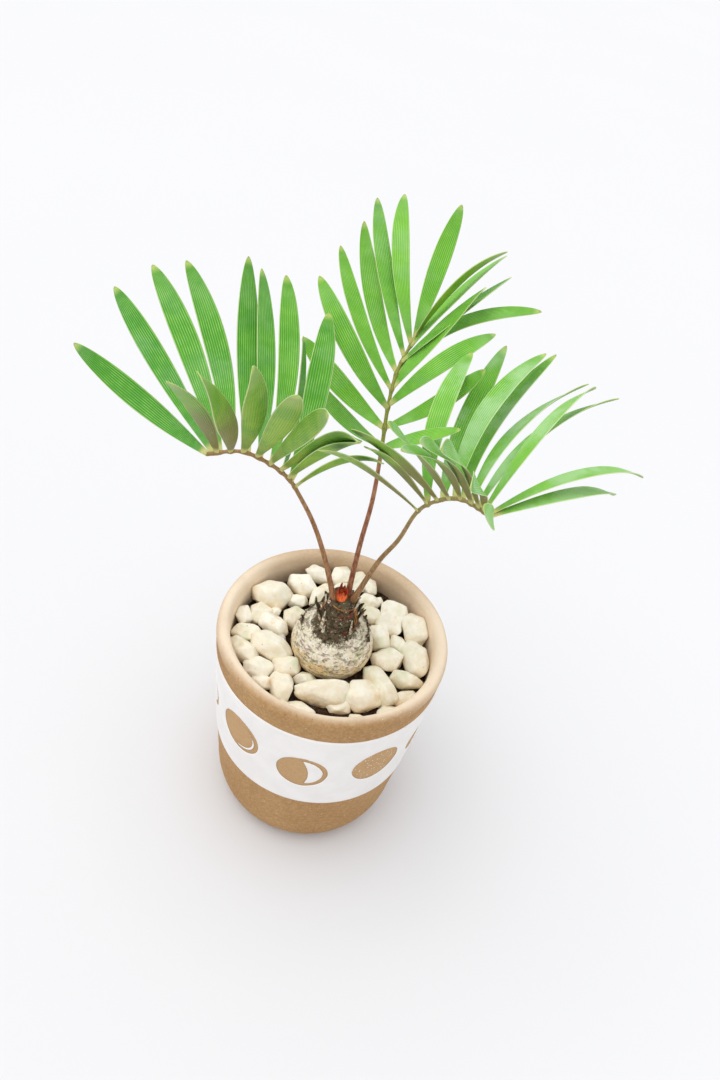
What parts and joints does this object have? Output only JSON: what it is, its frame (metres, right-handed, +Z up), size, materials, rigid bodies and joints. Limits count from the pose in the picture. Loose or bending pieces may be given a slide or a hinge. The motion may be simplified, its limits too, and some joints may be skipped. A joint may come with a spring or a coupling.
{
  "type": "potted plant",
  "caption": "Young feather-leaved cycad with a bulb-like stem base in a small round clay pot, topped with pale stones, with a glazed band of bare moon shapes.",
  "frame": {"origin": "centre of the pot's flat base", "axes": "+Z up along the pot's axis, +X to the right and +Y to the back, where the middle frond arches"},
  "size_m": [0.1598, 0.1107, 0.212],
  "materials": {
    "clay": "unglazed, matt tan clay with fine dark specks",
    "glaze": "satin white glaze",
    "soil": "dark, damp and crumbly",
    "pebbles": "tumbled, matt cream",
    "bulb": "fissured bark with dark, ragged scales",
    "bud": "matt, scaly",
    "stalk": "smooth, finely speckled",
    "leaf": "leathery, with fine lengthwise veins"
  },
  "bodies": {
    "root": {"pot": "clay", "glaze_band": "glaze", "soil": "soil", "pebbles": "pebbles", "caudex": "bulb", "new_bud": "bud", "petiole_left": "stalk", "petiole_middle": "stalk", "petiole_right": "stalk", "frond_left": "leaf", "frond_middle": "leaf", "frond_right": "leaf"}
  },
  "joints": []
}
